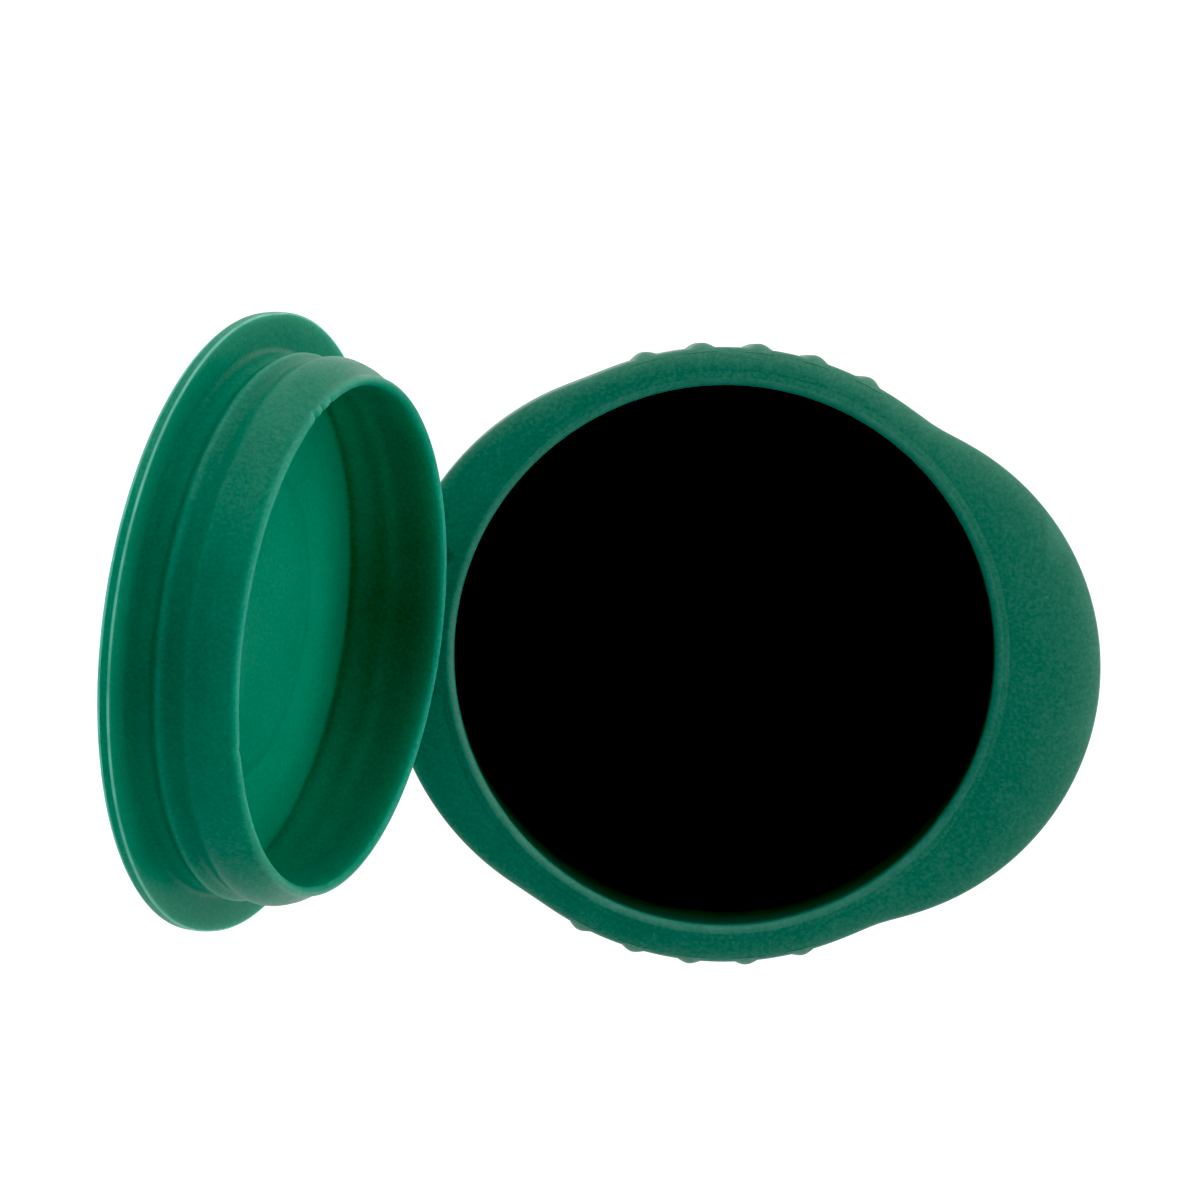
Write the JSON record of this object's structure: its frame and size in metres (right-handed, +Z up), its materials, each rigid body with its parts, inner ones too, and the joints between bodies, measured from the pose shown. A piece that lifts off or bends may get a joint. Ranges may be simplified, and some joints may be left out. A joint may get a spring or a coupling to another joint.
{
  "type": "flip-lid vial",
  "caption": "Round green plastic vial with an oval squeeze collar, side grip ribs and a captive plug lid on a living hinge, shown open.",
  "frame": {"origin": "centre of the flat base, on the surface that the vial stands on", "axes": "+Z up along the tube towards the mouth, +X towards the front guard, the hinge is towards -X"},
  "size_m": [0.0722, 0.0476, 0.1274],
  "materials": {
    "green_polypropylene": "satin moulded polypropylene, opaque",
    "green_polypropylene_grip": "satin moulded polypropylene on the ribs",
    "green_polypropylene_web": "thin flexing polypropylene, slightly paler where it has been bent",
    "green_polypropylene_lid": "satin moulded polypropylene on the lid"
  },
  "bodies": {
    "vial": {"base_panel": "green_polypropylene", "heel_ring": "green_polypropylene", "vial_tube": "green_polypropylene", "mouth_lip": "green_polypropylene", "squeeze_collar": "green_polypropylene", "front_guard": "green_polypropylene", "grip_ribs_left": "green_polypropylene_grip", "grip_ribs_right": "green_polypropylene_grip", "hinge_root": "green_polypropylene", "living_hinge": "green_polypropylene_web"},
    "lid": {"hinge_leaf": "green_polypropylene_lid", "lid_flange": "green_polypropylene_lid", "lid_panel": "green_polypropylene_lid", "plug_skirt": "green_polypropylene_lid", "seal_bead": "green_polypropylene_lid"}
  },
  "joints": [
    {"name": "lid_hinge", "type": "hinge", "parent": "vial", "child": "lid", "pos_m": [-0.0253, 0, 0.0835], "axis": [0, -1, 0], "range_deg": [-110.7, 69.3], "stiffness_Nm_per_rad": 0.01, "deforming": ["living_hinge"]}
  ]
}
